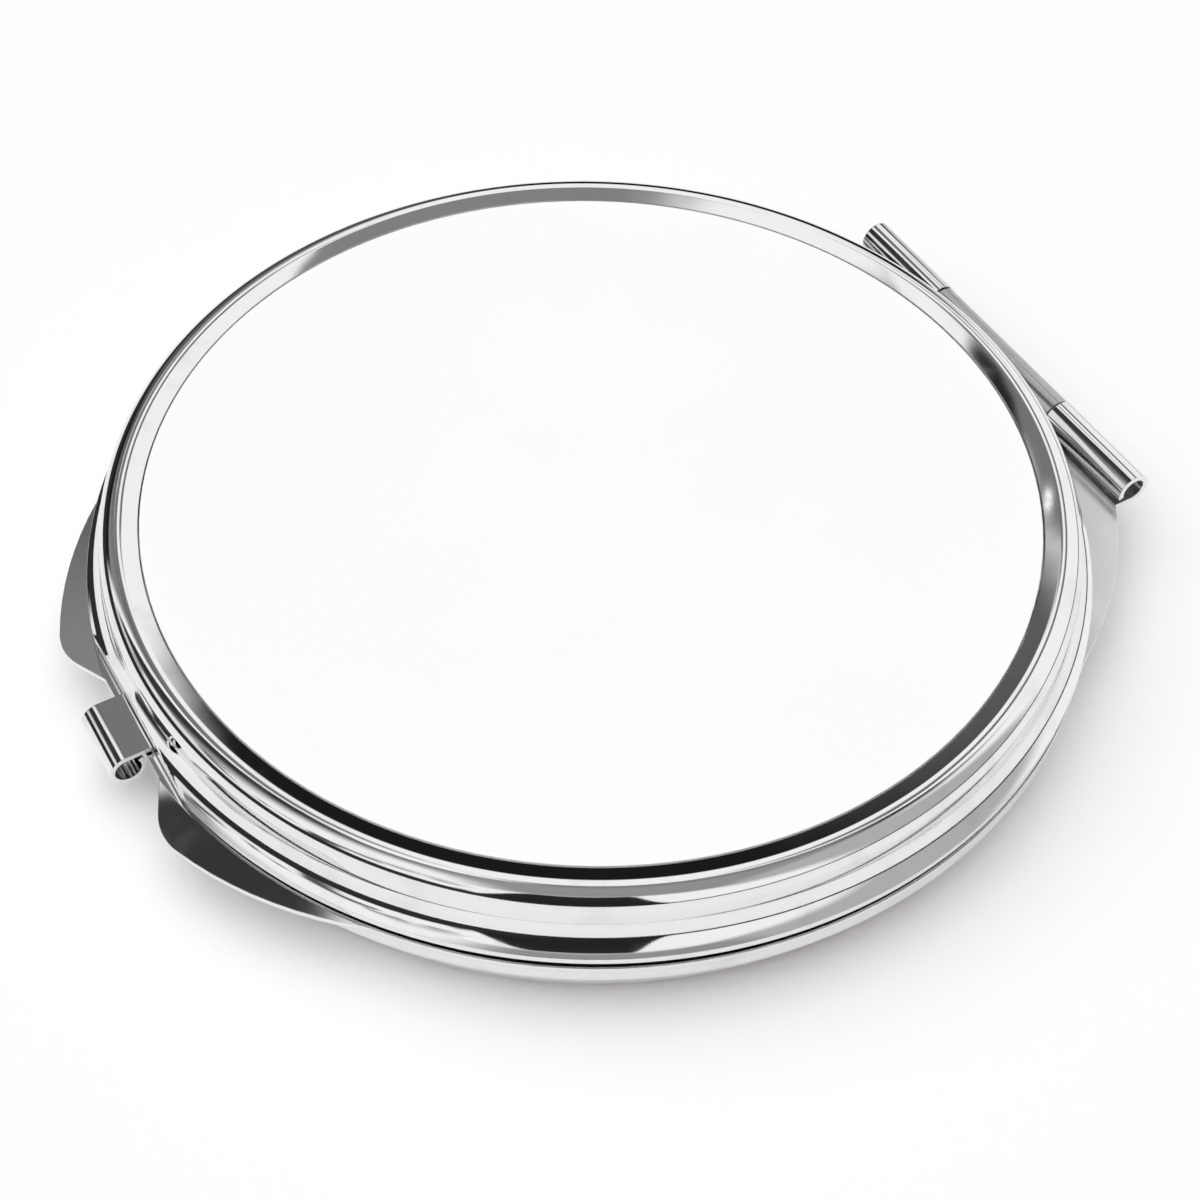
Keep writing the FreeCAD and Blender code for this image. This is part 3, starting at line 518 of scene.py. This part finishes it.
def studio_levels(ray):
    """Brightness of the room by direction: ceiling, cards, camera stand, back wall and dark corners."""
    nearer = ray.along(TOWARDS_CAMERA)
    right = ray.along(TO_THE_RIGHT)
    up = ray.along((0.0, 0.0, 1.0))
    behind = (-nearer).step(0.1, 0.3)
    far_behind = (-nearer).step(0.42, 0.5)
    room = add_near_side(ceiling_levels(nearer, right), ray, nearer, right, up)
    room = add_left_corner(add_back_wall(room, right, up, far_behind), right, up, far_behind)
    # white card beside the corner, and a dark low wall at the back that rises towards the left
    corner_card = nearer.within(-0.47, -0.385, 0.012) * right.within(-0.42, -0.25, 0.02)
    room = corner_card.blend(room, WHITE_PANEL)
    leftwards = (-right).step(0.05, 0.2)
    wall_top = leftwards.blend(0.5, 0.64)
    below_top = 1.0 - (up - wall_top).step(-0.06, 0.06)
    low_wall = below_top * behind * right.within(-0.5, 0.35, 0.06)
    room = low_wall.blend(room, leftwards.blend(*LOW_WALL_LEVELS))
    horizon = (-right).step(-0.1, 0.5).blend(0.06, 0.3)
    return (up - horizon).step(0.0, 0.03).blend(DARK_PANEL, room)


def make_studio():
    """World: soft light on the table from high up, and for polished metal a room of panels."""
    world = bpy.data.worlds.new("studio")
    world.use_nodes = True
    bpy.context.scene.world = world
    tree = world.node_tree
    tree.nodes.clear()
    start = Wire(tree)
    ray = start.make("ShaderNodeTexCoord", output="Generated")
    camera_ray = start.make("ShaderNodeLightPath", output="Is Camera Ray")
    glossy_ray = start.make("ShaderNodeLightPath", output="Is Glossy Ray")
    through_ray = start.make("ShaderNodeLightPath", output="Is Transmission Ray")
    shown = start.math("ADD", camera_ray + glossy_ray, through_ray, clamp=True)
    seen = camera_ray.blend(studio_levels(ray), 1.0)
    lit = ray.along(LAMP_SIDE).step(0.45, 0.99)
    lamp_values = {"Color": lit.tint(*LAMP_TINTS), "Strength": lit.blend(*LAMP_LEVELS)}
    lamp = start.make("ShaderNodeBackground", None, lamp_values)
    view = start.make("ShaderNodeBackground", None, {"Color": (1.0, 1.0, 1.0, 1.0), "Strength": seen})
    mixed = start.make("ShaderNodeMixShader", None, {0: shown, 1: lamp, 2: view})
    start.make("ShaderNodeOutputWorld", None, {"Surface": mixed})


def make_camera():
    """Camera at the photograph's angle."""
    forward = (CAMERA_AIM - CAMERA_PLACE).normalized()
    level = forward.cross(Vector((0.0, 0.0, 1.0))).normalized()
    upward = level.cross(forward)
    right = level * math.cos(CAMERA_ROLL) + upward * math.sin(CAMERA_ROLL)
    top = upward * math.cos(CAMERA_ROLL) - level * math.sin(CAMERA_ROLL)
    data = bpy.data.cameras.new("view")
    data.sensor_width = SENSOR_MM
    data.lens = CAMERA_LENS_MM
    data.clip_start = MM
    camera = bpy.data.objects.new("view", data)
    turn = Matrix((right, top, -forward)).transposed().to_4x4()
    camera.matrix_world = Matrix.Translation(CAMERA_PLACE) @ turn
    bpy.context.scene.collection.objects.link(camera)
    bpy.context.scene.camera = camera


plate = make_polished_plate()
dress(PLATED_NODES, plate)
dress(["lid_frame"], make_satin_plate())
turn_shell("lid_shell", "lid", lid_section(), LID_HINGE_FLAT, LID_CATCH_FLAT, plate)
turn_shell("base_shell", "base", base_section(), BASE_HEM_RADIUS, BASE_CATCH_FLAT, plate)
dress(["top_disc"], make_white_disc())
dress(["hinge_pin"], make_pin_steel())
dress(GLASS_NODES, make_mirror_glass())
dress(PAD_NODES, make_foam_pad())
dress(["top_disc_adhesive"], make_adhesive_film())
make_floor()
make_studio()
make_camera()
bpy.context.scene.view_settings.view_transform = "Standard"
